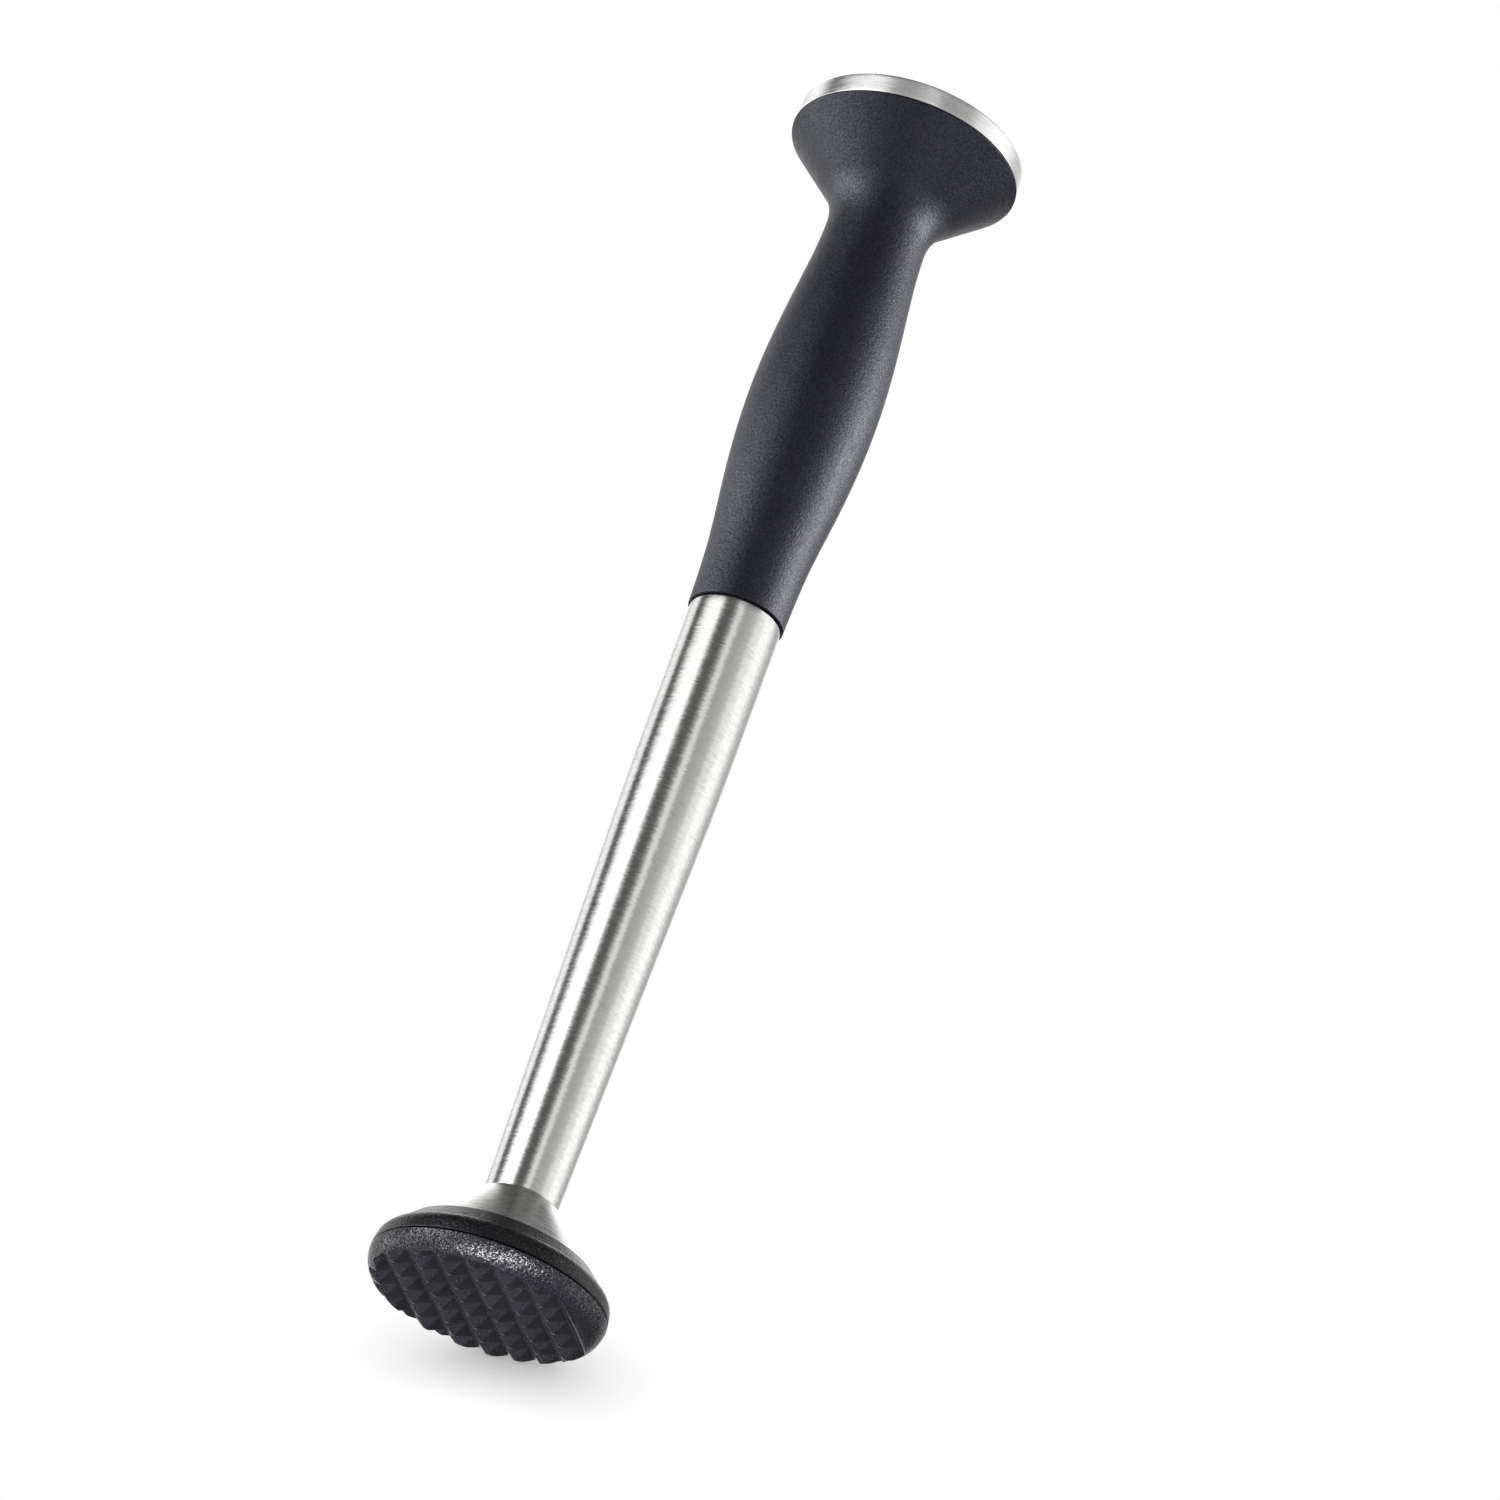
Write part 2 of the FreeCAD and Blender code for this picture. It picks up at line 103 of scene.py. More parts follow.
# ---- collar ----
COLLAR_FOOT_Z = lowest("head_collar")
COLLAR_FOOT = ((0.60, 0.0), (0.30, 0.03), (0.12, 0.11), (0.06, 0.25))   # in and up from the corner
COLLAR_SIDE_FOOT = (0.05, 0.35)
COLLAR_SIDE = (19.6, 5.9)       # top of the drafted side, then a round into a 45 degree top
COLLAR_ROUND = (19.15, 6.95)
COLLAR_SLOPE = (18.25, 7.75)
COLLAR_LIP = (15.85, 10.15)
COLLAR_LIP_ROUND = (15.67, 10.32)
COLLAR_LIP_TOP_R = 15.42
LIP_INNER_R = 15.05
BOSS_FOOT_R = 12.8      # boss inside the cone, with a short step at its foot
BOSS_R = 12.2
BOSS_STEP = 0.8
BOSS_TOP_R = 7.7
HEAD_BORE_R = 2.75
HEAD_WELL_R = 5.8
HEAD_WELL_TOP_Z = 8.7

# ---- flared cone ----
CONE_FOOT_R = radius_of("flare_cone")
CONE_KNEE = ((CONE_FOOT_R, 10.38), (14.98, 10.45), (14.93, 10.53))
CONE_NECK = ((6.62, 19.58), (6.53, 19.66), (6.42, TUBE_START_Z))
CONE_FOOT_R_IN = 13.87
CONE_FOOT_TOP_Z = 10.45
NECK_DROP = 0.35        # how far the inside of the neck lies below the outside
SPIGOT_R = 5.25
SHEET = 0.8

# ---- tube ----
TUBE_MID_Z = 80.0
TUBE_BELL_Z = 108.0
TUBE_R_LOW = 6.2
TUBE_R_MID = 7.5
TUBE_R_HIGH = radius_of("shaft_tube")
TUBE_WALL = 0.9
TUBE_LOW_EDGE = ((0.12, 0.0), (0.04, 0.03), (0.0, 0.12))        # in and along from each corner
TUBE_HIGH_EDGE = ((0.02, 0.1), (0.08, 0.03), (0.17, 0.0))
TUBE_MOUTH = ((7.1, 0.0), (7.05, 0.05))         # radius and drop of the bore's broken edge
TUBE_FOOT_BORE_R = 5.3

# ---- rubber grip, radius by height ----
GRIP_FOOT = ((7.2, GRIP_START_Z), (8.05, GRIP_START_Z))
GRIP_FOOT_EDGE = ((8.12, GRIP_START_Z), (8.25, 130.97), (8.3, 131.12))
GRIP_SHAPE = ((8.3, 131.15), (8.85, 143.5), (10.02, 154.2), (10.93, 164.5), (11.2, 174.5),
              (10.75, 185.0), (9.68, 196.4), (8.85, 208.8))
GRIP_FOOT_LEAN = 0.03   # outward lean at the foot, run over rise
FLARE_DEG = 43.6        # slope of the flare, from the axis
FILLET_R = 10.6         # concave sweep from the waist into the flare
GRIP_LIP = 0.2          # height of the rounded rim under the cap, and how far it bulges
GRIP_LIP_BULGE = 0.14
GRIP_INSIDE = ((18.95, GRIP_END_Z), (18.95, 224.6), (16.8, 224.6), (10.9, 217.4), (8.0, 212.5),
               (7.1, 208.8), (7.1, 206.0), (8.15, 194.0), (9.2, 174.5), (8.35, 153.0), (6.9, 131.5))

# ---- end cap ----
CAP_R = radius_of("steel_cap")
CAP_EDGE = 0.55
CAP_HEM = 0.12
CAP_WALL = 0.7

# ---- camera ----
CAMERA_PLACE = (356.07, -957.08, -398.16)
CAMERA_AIM = (9.14, 3.30, 109.04)
CAMERA_ROLL = -20.02
CAMERA_LENS = 166.4
SENSOR = 36.0


# ------------------------------------------------------------------ outlines
def arc_points(centre, radius, start, end, count):
    """Points on a circle in the (radius, height) plane, angles in degrees from +radius."""
    angles = [math.radians(start + (end - start) * i / count) for i in range(count + 1)]
    return [(centre[0] + radius * math.cos(a), centre[1] + radius * math.sin(a)) for a in angles]


def arc_through(a, b, c, count):
    """Circular arc from a to c through b, as points."""
    ax, ay = a
    bx, by = b
    cx, cy = c
    d = 2 * (ax * (by - cy) + bx * (cy - ay) + cx * (ay - by))
    ux = ((ax**2 + ay**2) * (by - cy) + (bx**2 + by**2) * (cy - ay) + (cx**2 + cy**2) * (ay - by)) / d
    uy = ((ax**2 + ay**2) * (cx - bx) + (bx**2 + by**2) * (ax - cx) + (cx**2 + cy**2) * (bx - ax)) / d
    radius = math.hypot(ax - ux, ay - uy)
    start = math.degrees(math.atan2(ay - uy, ax - ux))
    end = math.degrees(math.atan2(cy - uy, cx - ux))
    turn = (end - start + 180) % 360 - 180
    return arc_points((ux, uy), radius, start, start + turn, count)


def straight(a, b, count):
    return [(a[0] + (b[0] - a[0]) * i / count, a[1] + (b[1] - a[1]) * i / count) for i in range(count + 1)]


def smooth_through(points, count, start_slope=0.0, end_slope=0.0):
    """Cubic spline of radius against height, sampled evenly in height."""
    z = np.array([p[1] for p in points])
    r = np.array([p[0] for p in points])
    n = len(z)
    h = np.diff(z)
    system = np.zeros((n, n))
    side = np.zeros(n)
    system[0, 0], system[0, 1] = 2 * h[0], h[0]
    side[0] = 6 * ((r[1] - r[0]) / h[0] - start_slope)
    system[-1, -1], system[-1, -2] = 2 * h[-1], h[-1]
    side[-1] = 6 * (end_slope - (r[-1] - r[-2]) / h[-1])
    for i in range(1, n - 1):
        system[i, i - 1], system[i, i], system[i, i + 1] = h[i - 1], 2 * (h[i - 1] + h[i]), h[i]
        side[i] = 6 * ((r[i + 1] - r[i]) / h[i] - (r[i] - r[i - 1]) / h[i - 1])
    m = np.linalg.solve(system, side)
    heights = np.linspace(z[0], z[-1], count + 1)
    out = []
    for value in heights:
        i = min(max(int(np.searchsorted(z, value)) - 1, 0), n - 2)
        a, b = z[i + 1] - value, value - z[i]
        radius = (m[i] * a**3 + m[i + 1] * b**3) / (6 * h[i])
        radius += (r[i] / h[i] - m[i] * h[i] / 6) * a + (r[i + 1] / h[i] - m[i + 1] * h[i] / 6) * b
        out.append((float(radius), float(value)))
    return out


def tube_radius(z):
    """Outer radius of the tube: a straight taper that eases into a cylinder at the top."""
    if z <= TUBE_MID_Z:
        share = (z - TUBE_START_Z) / (TUBE_MID_Z - TUBE_START_Z)
        return TUBE_R_LOW + (TUBE_R_MID - TUBE_R_LOW) * share
    share = min(1.0, (z - TUBE_MID_Z) / (TUBE_BELL_Z - TUBE_MID_Z))
    return TUBE_R_MID + (TUBE_R_HIGH - TUBE_R_MID) * math.sin(share * math.pi / 2)


# ------------------------------------------------------------------ mesh making
SHARP_DEG = 38          # edges that bend more than this are shaded as creases


def lathe(name, profile, segments=320, lift=None):
    """Closed mesh turned from a closed (radius, height) outline in millimetres.

    Points on the axis become one vertex.  lift, when given, returns new heights for
    arrays of x, y and z."""
    angle = np.linspace(0, 2 * math.pi, segments, endpoint=False)
    cosine, sine = np.cos(angle), np.sin(angle)
    rows, vertices = [], []
    for r, z in profile:
        if r < 1e-6:
            rows.append([len(vertices)])
            vertices.append((0.0, 0.0, z))
        else:
            first = len(vertices)
            rows.append(list(range(first, first + segments)))
            vertices.extend(zip(r * cosine, r * sine, [z] * segments))
    co = np.array(vertices, float)
    if lift:
        co[:, 2] = lift(co[:, 0], co[:, 1], co[:, 2])
    faces = []
    count = len(rows)
    on_axis = len(rows[0]) == 1 and len(rows[-1]) == 1
    pairs = count - 1 if on_axis else count
    for i in range(pairs):
        low, high = rows[i], rows[(i + 1) % count]
        if len(low) == 1 and len(high) == 1:
            continue
        for k in range(segments):
            n = (k + 1) % segments
            if len(low) == 1:
                faces.append((low[0], high[n], high[k]))
            elif len(high) == 1:
                faces.append((low[k], low[n], high[0]))
            else:
                faces.append((low[k], low[n], high[n], high[k]))
    mesh = bpy.data.meshes.new(name)
    mesh.from_pydata((co * MM).tolist(), [], faces)
    mesh.polygons.foreach_set("use_smooth", [True] * len(mesh.polygons))
    mesh.set_sharp_from_angle(angle=math.radians(SHARP_DEG))
    mesh.validate()
    thing = bpy.data.objects.new(name, mesh)
    bpy.context.scene.collection.objects.link(thing)
    return thing


def dress(thing, material, slot, *nodes):
    """Gives a piece its material and body, and hides the CAD nodes that it stands for."""
    thing.data.materials.append(material)
    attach(thing, "root")
    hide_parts(*nodes)
    return thing


# ------------------------------------------------------------------ head pieces
def soft_max(a, b, k):
    """The larger of a and b, with a rounded change between them of width k."""
    return 0.5 * (a + b + np.sqrt((a - b) ** 2 + k * k))


def edge_drop(r):
    """Height of the pad's face at a radius: flat, then a quarter ellipse up to the joint."""
    flat_r = HEAD_R - EDGE_WIDTH
    share = np.clip((r - flat_r) / EDGE_WIDTH, 0, 1)
    return PARTING_Z * (1 - np.sqrt(1 - share**2))


def tooth_height(x, y, z):
    """Lower face of the head: crossed V grooves cut up into the flat, rounded-edge face."""
    r = np.hypot(x, y)
    slope = TOOTH_DEPTH / ((TOOTH_PITCH - TOOTH_TIP) / 2)
    tops = []
    for across in (x, y):
        line = np.clip(np.round(across / TOOTH_PITCH), -GROOVES_EACH_SIDE, GROOVES_EACH_SIDE)
        distance = np.abs(across - line * TOOTH_PITCH)
        tops.append(TOOTH_DEPTH - slope * np.sqrt(distance**2 + RIDGE_ROUND**2))
    tops[1] = np.where(x > GROOVES_EACH_SIDE * TOOTH_PITCH, -1.0, tops[1])
    cut = soft_max(tops[0], tops[1], RIDGE_ROUND)
    field_r = np.hypot(x - FIELD_CENTRE[0], y - FIELD_CENTRE[1])
    run_out = -1 + (FIELD_R_BELOW - field_r) / (FIELD_R_BELOW - FIELD_R_ROOT) * (TOOTH_DEPTH + 1)
    cut = -soft_max(-cut, -run_out, RIDGE_ROUND)
    face = edge_drop(r)
    shaped = soft_max(face, cut, RIDGE_ROUND) - RIDGE_ROUND / 2
    bottom = (r < MESH_FINE_R - MESH_STEP / 2) & (np.abs(z - face) < 1e-4)
    return np.where(bottom, np.maximum(shaped, 0.0), z)


def make_pad():
    flat_r = HEAD_R - EDGE_WIDTH
    radii = [MESH_STEP * i for i in range(int(MESH_FINE_R / MESH_STEP))]
    bottom = [(r, float(edge_drop(np.array(r)))) for r in radii]
    first = math.degrees(math.asin((radii[-1] - flat_r) / EDGE_WIDTH))
    rim_steps = 40
    rim = []
    for i in range(1, rim_steps + 1):
        a = math.radians(first + (EDGE_LAST_DEG - first) * i / rim_steps)
        rim.append((flat_r + EDGE_WIDTH * math.sin(a), PARTING_Z * (1 - math.cos(a))))
    lip = [(HEAD_R - inward, PARTING_Z - down) for inward, down in PAD_LIP]
    tongue = [(TONGUE_R_OUT, PARTING_Z), (TONGUE_R_OUT, BEAD_Z - TONGUE_BEAD),
              (TONGUE_R_OUT + TONGUE_BEAD, BEAD_Z), (TONGUE_R_OUT, TONGUE_TOP_Z),
              (TONGUE_R_IN, TONGUE_TOP_Z), (TONGUE_R_IN, PARTING_Z)]
    pocket = [(PAD_POCKET_R, PARTING_Z), (PAD_POCKET_R, PAD_POCKET_Z), (0, PAD_POCKET_Z)]
    return lathe("toothed_head_pad", bottom + rim + lip + tongue + pocket, 720, tooth_height)


def make_collar():
    outer = [(HEAD_R - inward, COLLAR_FOOT_Z + up) for inward, up in COLLAR_FOOT]
    side_foot = (HEAD_R - COLLAR_SIDE_FOOT[0], COLLAR_FOOT_Z + COLLAR_SIDE_FOOT[1])
    outer += straight(side_foot, COLLAR_SIDE, 12)
    outer += arc_through(COLLAR_SIDE, COLLAR_ROUND, COLLAR_SLOPE, 24)[1:]
    outer += straight(COLLAR_SLOPE, COLLAR_LIP, 20)[1:]
    outer += arc_through(COLLAR_LIP, COLLAR_LIP_ROUND, (COLLAR_LIP_TOP_R, COLLAR_TOP_Z), 8)[1:]
    lip = [(LIP_INNER_R + 0.07, COLLAR_TOP_Z), (LIP_INNER_R + 0.01, COLLAR_TOP_Z - 0.06),
           (LIP_INNER_R, GASKET_SEAT_Z)]
    boss = [(BOSS_FOOT_R, GASKET_SEAT_Z), (BOSS_R, GASKET_SEAT_Z + BOSS_STEP),
            (BOSS_TOP_R, BOSS_TOP_Z), (HEAD_BORE_R, BOSS_TOP_Z)]
    well = [(HEAD_BORE_R, HEAD_WELL_TOP_Z), (HEAD_WELL_R, HEAD_WELL_TOP_Z), (HEAD_WELL_R, COLLAR_FOOT_Z)]
    groove_r_in, groove_r_out = TONGUE_R_IN - FIT, TONGUE_R_OUT + FIT
    groove = [(groove_r_in, COLLAR_FOOT_Z), (groove_r_in, TONGUE_TOP_Z + FIT),
              (groove_r_out, TONGUE_TOP_Z + FIT), (groove_r_out + TONGUE_BEAD, BEAD_Z),
              (groove_r_out, BEAD_Z - TONGUE_BEAD), (groove_r_out, COLLAR_FOOT_Z)]
    return lathe("head_shoulder_collar", outer + lip + boss + well + groove, 400)


def make_cone():
    foot = [(CONE_FOOT_R, CONE_FOOT_Z), CONE_KNEE[0], CONE_KNEE[1]]
    slope = straight(CONE_KNEE[2], CONE_NECK[0], 40)
    neck = arc_through(*CONE_NECK, 4)[1:]
    bore_r = SPIGOT_R - SHEET
    inside = [(SPIGOT_R, TUBE_START_Z), (SPIGOT_R, SPIGOT_TOP_Z), (bore_r, SPIGOT_TOP_Z),
              (bore_r, TUBE_START_Z - NECK_DROP), (CONE_FOOT_R_IN, CONE_FOOT_TOP_Z),
              (CONE_FOOT_R_IN, CONE_FOOT_Z)]
    return lathe("flared_steel_cone", foot + slope + neck + inside)


# ------------------------------------------------------------------ shaft
def make_tube():
    low = [(TUBE_R_LOW - inward, TUBE_START_Z + up) for inward, up in TUBE_LOW_EDGE]
    side = [(tube_radius(z), z) for z in np.linspace(TUBE_START_Z + 0.3, TUBE_END_Z - 0.2, 90)]
    high = [(TUBE_R_HIGH - inward, TUBE_END_Z - down) for inward, down in TUBE_HIGH_EDGE]
    mouth = [(r, TUBE_END_Z - down) for r, down in TUBE_MOUTH]
    bore = [(tube_radius(z) - TUBE_WALL, z)
            for z in np.linspace(TUBE_END_Z - 0.6, TUBE_START_Z + 0.3, 60)]
    foot = [(TUBE_FOOT_BORE_R, TUBE_START_Z)]
    return lathe("tapered_shaft_tube", low + side + high + mouth + bore + foot)


# ------------------------------------------------------------------ handle
def make_grip():
    foot = list(GRIP_FOOT) + arc_through(*GRIP_FOOT_EDGE, 6)
    side = smooth_through(GRIP_SHAPE, 150, GRIP_FOOT_LEAN)[1:]
    waist_r, waist_z = GRIP_SHAPE[-1]
    sweep = arc_points((waist_r + FILLET_R, waist_z), FILLET_R, 180, 180 - FLARE_DEG, 40)[1:]
    start = sweep[-1]
    rim_z = GRIP_END_Z - GRIP_LIP
    rim_r = start[0] + (rim_z - start[1]) * math.tan(math.radians(FLARE_DEG))
    flare = straight(start, (rim_r, rim_z), 40)[1:]
    bulge = (rim_r + GRIP_LIP_BULGE, GRIP_END_Z - GRIP_LIP / 2)
    lip = arc_through((rim_r, rim_z), bulge, (rim_r, GRIP_END_Z), 6)[1:]
    return lathe("soft_grip_sleeve", foot + side + sweep + flare + lip + list(GRIP_INSIDE))


def make_cap():
    top_r, edge_z = CAP_R - CAP_EDGE, CAP_TOP_Z - CAP_EDGE
    top = [(0, CAP_TOP_Z)] + [(float(r), CAP_TOP_Z) for r in np.linspace(1, top_r, 40)]
    edge = arc_points((top_r, edge_z), CAP_EDGE, 90, 0, 10)[1:]
    side = straight((CAP_R, edge_z), (CAP_R, CAP_START_Z + CAP_HEM), 6)[1:]
    hem = arc_points((CAP_R - CAP_HEM, CAP_START_Z + CAP_HEM), CAP_HEM, 0, -90, 5)[1:]
    wall_r, ceiling = CAP_R - CAP_WALL, CAP_TOP_Z - CAP_WALL
    inside = [(wall_r, CAP_START_Z), (wall_r, ceiling), (0, ceiling)]
    outline = top + edge + side + hem + inside
    return lathe("steel_end_cap", outline[::-1], 400)


# ------------------------------------------------------------------ node helpers
class Tree:
    """Short calls for building a node tree."""

    def __init__(self, tree):
        self.tree = tree
        tree.nodes.clear()

    def add(self, kind, values=None, **settings):
        made = self.tree.nodes.new(kind)
        for key, value in settings.items():
            setattr(made, key, value)
        for key, value in (values or {}).items():
            socket = made.inputs[key]
            if hasattr(value, "links") and hasattr(value, "node"):
                self.tree.links.new(value, socket)
            else:
                socket.default_value = value
        return made

    def math(self, operation, a, b=0.0):
        return self.add("ShaderNodeMath", {0: a, 1: b}, operation=operation).outputs[0]

    def vector(self, operation, a, b=(0, 0, 0)):
        made = self.add("ShaderNodeVectorMath", {0: a, 1: b}, operation=operation)
        name = "Value" if operation in ("DOT_PRODUCT", "LENGTH") else "Vector"
        return made.outputs[name]

    def noise(self, vector, scale, detail=2.0, rough=0.5):
        made = self.add("ShaderNodeTexNoise", {"Vector": vector, "Scale": scale, "Detail": detail,
                                               "Roughness": rough})
        return made.outputs["Fac"]

    def span(self, value, low, high, new_low=0.0, new_high=1.0, smooth=False):
        made = self.add("ShaderNodeMapRange", {"Value": value, "From Min": low, "From Max": high,
                                               "To Min": new_low, "To Max": new_high})
        made.interpolation_type = "SMOOTHSTEP" if smooth else "LINEAR"
        return made.outputs["Result"]

    def mix(self, factor, a, b):
        made = self.add("ShaderNodeMix", data_type="RGBA")
        for key, value in ((0, factor), (6, a), (7, b)):
            if hasattr(value, "links") and hasattr(value, "node"):
                self.tree.links.new(value, made.inputs[key])
            else:
                made.inputs[key].default_value = value
        return made.outputs[2]

    def ramp(self, value, stops, smooth="EASE"):
        made = self.add("ShaderNodeValToRGB", {"Fac": value})
        ramp = made.color_ramp
        ramp.interpolation = smooth
        while len(ramp.elements) > 1:
            ramp.elements.remove(ramp.elements[0])
        ramp.elements[0].position = stops[0][0]
        ramp.elements[0].color = grey(stops[0][1])
        for place, level in stops[1:]:
            ramp.elements.new(place).color = grey(level)
        return made.outputs["Color"]

    def bump(self, height, distance, strength=1.0, below=None):
        values = {"Height": height, "Distance": distance, "Strength": strength}
        if below is not None:
            values["Normal"] = below
        return self.add("ShaderNodeBump", values).outputs["Normal"]

    def finish(self, shader):
        out = self.add("ShaderNodeOutputMaterial")
        self.tree.links.new(shader, out.inputs["Surface"])


def grey(level):
    return (level, level, level, 1.0)


def new_material(name):
    made = bpy.data.materials.new(name)
    made.use_nodes = True
    return made, Tree(made.node_tree)


# ------------------------------------------------------------------ materials
# Noise scales are in cycles per metre, so 2200 is a grain of about half a millimetre, and bump
# heights are in metres.
def brushed_steel(name, tint=(0.80, 0.80, 0.79), rough=0.16, flat_face=False):
    """Stainless steel with fine brush lines that run round the axis of the tool."""
    material, t = new_material(name)
    place = t.add("ShaderNodeTexCoord").outputs["Object"]
    parts = t.add("ShaderNodeSeparateXYZ", {0: place}).outputs
    flat = t.add("ShaderNodeCombineXYZ", {0: parts[0], 1: parts[1]}).outputs[0]
    radius = t.vector("LENGTH", flat)
    around = t.vector("NORMALIZE", flat)
    way = t.add("ShaderNodeSeparateXYZ", {0: around}).outputs
    along = t.math("MULTIPLY", parts[2], 1 / MM)
    outward = t.math("MULTIPLY", radius, 1 / MM)
    level = t.math("ADD", along, outward) if flat_face else along

    def streaks(turn, fine, detail):
        line = t.math("MULTIPLY", level, fine)
        spot = t.add("ShaderNodeCombineXYZ", {0: t.math("MULTIPLY", way[0], turn),
                                              1: t.math("MULTIPLY", way[1], turn), 2: line}).outputs[0]
        return t.noise(spot, 1.0, detail, 0.6)

    fine = streaks(6.0, 4.5, 3.0)
    broad = streaks(4.0, 1.5, 2.0)
    hair = t.math("ADD", t.math("MULTIPLY", fine, 0.55), t.math("MULTIPLY", broad, 0.45))
    cloud = t.noise(place, 90.0, 3.0)
    roughness = t.math("ADD", t.span(hair, 0.35, 0.65, rough - 0.05, rough + 0.09),
                       t.span(cloud, 0.3, 0.7, -0.015, 0.02))
    colour = t.mix(t.span(hair, 0.35, 0.65), (tint[0] * 0.82, tint[1] * 0.82, tint[2] * 0.81, 1),
                   (min(1, tint[0] * 1.12), min(1, tint[1] * 1.12), min(1, tint[2] * 1.11), 1))
    round_way = t.add("ShaderNodeCombineXYZ", {0: t.math("MULTIPLY", way[1], -1.0), 1: way[0]}).outputs[0]
    shift = t.math("MULTIPLY", t.math("SUBTRACT", streaks(5.0, 2.8, 3.0), 0.5), 0.13)
    scale_node = t.add("ShaderNodeVectorMath", {0: round_way, "Scale": shift}, operation="SCALE")
    face_normal = t.add("ShaderNodeNewGeometry").outputs["Normal"]
    leaning = t.vector("NORMALIZE", t.vector("ADD", face_normal, scale_node.outputs[0]))
    normal = t.bump(hair, 0.00002, 0.9, leaning)
    tangent = t.add("ShaderNodeTangent", direction_type="RADIAL", axis="Z").outputs[0]
    shader = t.add("ShaderNodeBsdfPrincipled", {"Base Color": colour, "Metallic": 1.0, "Roughness": roughness,
                                                "Anisotropic": 0.75, "Anisotropic Rotation": 0.25,
                                                "Tangent": tangent, "Normal": normal})
    t.finish(shader.outputs[0])
    return material


def soft_rubber(name):
    """Matte charcoal rubber with a fine grain and faint handling marks."""
    material, t = new_material(name)
    place = t.add("ShaderNodeTexCoord").outputs["Object"]
    grain = t.noise(place, 2200.0, 3.0, 0.6)
    patches = t.noise(place, 120.0, 4.0, 0.55)
    wear = t.noise(place, 700.0, 3.0, 0.6)
    colour = t.mix(t.span(patches, 0.3, 0.7), (0.0030, 0.0033, 0.0068, 1), (0.0055, 0.0060, 0.0105, 1))
    colour = t.mix(t.span(grain, 0.45, 0.75, 0.0, 0.35), colour, (0.018, 0.018, 0.024, 1))
    roughness = t.math("ADD", t.span(wear, 0.3, 0.7, 0.41, 0.49), t.span(patches, 0.3, 0.7, -0.03, 0.03))
    sheen = t.span(t.noise(place, 2400.0, 1.0, 0.5), 0.35, 0.65, 0.38, 0.62)
    normal = t.bump(grain, 0.00010, 1.0)
    shader = t.add("ShaderNodeBsdfPrincipled", {"Base Color": colour, "Roughness": roughness,
                                                "Specular IOR Level": sheen, "Normal": normal,
                                                "Specular Tint": (0.85, 0.88, 1.0, 1.0)})
    t.finish(shader.outputs[0])
    return material


def pebbled_nylon(name, tint=(0.0092, 0.0090, 0.0124), pebble=0.00010, rough=0.24, glint=0.8):
    """Moulded nylon with light specks: a fine pebbled skin near the rim, smoother on the teeth."""
    material, t = new_material(name)
    place = t.add("ShaderNodeTexCoord").outputs["Object"]
    parts = t.add("ShaderNodeSeparateXYZ", {0: place}).outputs
    flat = t.add("ShaderNodeCombineXYZ", {0: parts[0], 1: parts[1]}).outputs[0]
    outward = t.math("MULTIPLY", t.vector("LENGTH", flat), 1 / MM)
    cells = t.add("ShaderNodeTexVoronoi", {"Vector": place, "Scale": 2000.0, "Randomness": 1.0},
                  feature="SMOOTH_F1").outputs["Distance"]
    ripple = t.noise(place, 2400.0, 2.0, 0.6)
    height = t.math("ADD", t.math("MULTIPLY", cells, -0.8), ripple)
    patches = t.noise(place, 160.0, 4.0, 0.6)
    specks = t.span(t.noise(place, 1700.0, 2.0, 0.7), 0.66, 0.74, 0.0, 0.5)
    colour = t.mix(t.span(patches, 0.3, 0.7), (*[c * 0.8 for c in tint], 1), (*[c * 1.25 for c in tint], 1))
    colour = t.mix(specks, colour, (0.10, 0.10, 0.11, 1))
    roughness = t.span(patches, 0.3, 0.7, rough - 0.05, rough + 0.06)
    depth = t.span(outward, 16.0, 18.6, 0.4, 1.0, smooth=True)
    glints = t.span(t.noise(place, 3300.0, 1.0, 0.5), 0.42, 0.60, -glint / 2, glint / 2)
    shine = t.math("ADD", t.math("MULTIPLY", glints, depth), 0.44)
    bump = t.add("ShaderNodeBump", {"Height": height, "Distance": pebble, "Strength": depth})
    shader = t.add("ShaderNodeBsdfPrincipled", {"Base Color": colour, "Roughness": roughness,
                                                "Specular IOR Level": shine, "Normal": bump.outputs["Normal"],
                                                "Specular Tint": (0.97, 0.97, 1.0, 1.0)})
    t.finish(shader.outputs[0])
    return material


def hidden_plastic(name, tint):
    """Moulded plastic of the parts inside: slight mottling and faint flow lines."""
    material, t = new_material(name)
    place = t.add("ShaderNodeTexCoord").outputs["Object"]
    flow = t.add("ShaderNodeTexWave", {"Vector": place, "Scale": 60.0, "Distortion": 6.0, "Detail": 3.0},
                 bands_direction="Z").outputs["Fac"]
    mottle = t.noise(place, 500.0, 4.0)
    colour = t.mix(t.span(mottle, 0.3, 0.7), (*[c * 0.85 for c in tint], 1), (*[c * 1.15 for c in tint], 1))
    roughness = t.span(flow, 0, 1, 0.45, 0.58)
    normal = t.bump(t.math("ADD", mottle, t.math("MULTIPLY", flow, 0.3)), 0.00004, 0.5)
    shader = t.add("ShaderNodeBsdfPrincipled", {"Base Color": colour, "Roughness": roughness,
                                                "Normal": normal})
    t.finish(shader.outputs[0])
    return material


